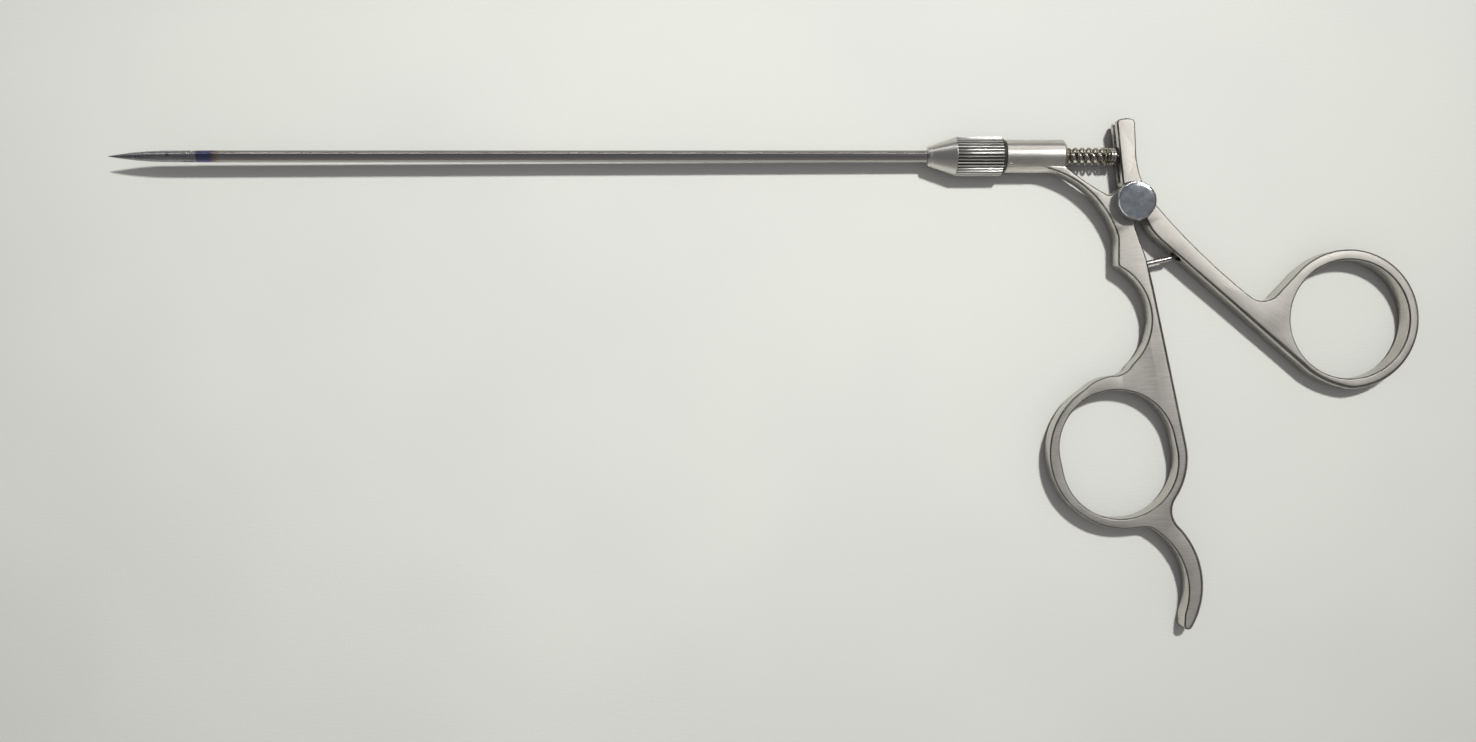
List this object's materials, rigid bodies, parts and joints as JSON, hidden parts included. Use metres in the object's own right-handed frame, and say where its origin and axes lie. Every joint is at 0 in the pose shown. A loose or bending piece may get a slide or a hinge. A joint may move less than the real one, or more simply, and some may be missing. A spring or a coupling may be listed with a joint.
{
  "type": "laparoscopic suture passer",
  "caption": "Straight needle-tipped suture passer with a hinged jaw at the tip, a clamped tubular shaft, and a ring handle with finger hook, thumb lever, return spring and knurled hinge screw.",
  "frame": {"origin": "on the shaft's axis, at the front face of the clamping nut", "axes": "+X along the shaft from the needle tip towards the thumb ring, +Y up from the finger ring towards the shaft, +Z across the handle plate towards the hinge knob"},
  "size_m": [0.3077, 0.1196, 0.0105],
  "materials": {
    "satin_steel": "satin",
    "polished_steel": "polished",
    "ground_steel": "ground",
    "white_plastic": "smooth",
    "seal_rubber": "matte"
  },
  "bodies": {
    "handle": {"front_handle": "satin_steel", "tube_ferrule": "satin_steel", "gland_bush": "white_plastic", "seal_ring": "seal_rubber", "shaft_tube": "polished_steel", "needle_tip": "ground_steel", "jaw_pivot_pin": "ground_steel", "stop_pin": "polished_steel", "return_spring": "polished_steel"},
    "nut": {"collet_nut": "satin_steel"},
    "screw": {"pivot_screw": "satin_steel"},
    "lever": {"thumb_lever": "satin_steel"},
    "rod": {"pull_rod": "polished_steel", "rod_end": "polished_steel", "spring_washer": "polished_steel", "drive_pin": "ground_steel"},
    "jaw": {"jaw": "ground_steel"}
  },
  "joints": [
    {"name": "lever_pivot", "type": "hinge", "parent": "handle", "child": "lever", "pos_m": [0.04778, -0.01111, 0], "axis": [0, 0, 1], "range_deg": [0, 6.95], "stiffness_Nm_per_rad": 0.25, "springref_deg": -25.78},
    {"name": "rod_slide", "type": "slide", "parent": "handle", "child": "rod", "axis": [-1, 0, 0], "range_m": [0, 0.0014], "deforming": ["return_spring"]},
    {"name": "jaw_hinge", "type": "hinge", "parent": "handle", "child": "jaw", "pos_m": [-0.1734, 0.00065, 0], "axis": [0, 0, -1], "range_deg": [0, 56.1]},
    {"name": "nut_turn", "type": "hinge", "parent": "handle", "child": "nut", "pos_m": [0, 0, 0], "axis": [1, 0, 0], "continuous": true},
    {"name": "screw_turn", "type": "hinge", "parent": "handle", "child": "screw", "pos_m": [0.04778, -0.01111, 0], "axis": [0, 0, 1], "continuous": true}
  ],
  "couplings": [
    {"joint": "rod_slide", "follows": "lever_pivot", "m_per_rad": 0.01139},
    {"joint": "jaw_hinge", "follows": "lever_pivot", "ratio": 8.0576}
  ]
}
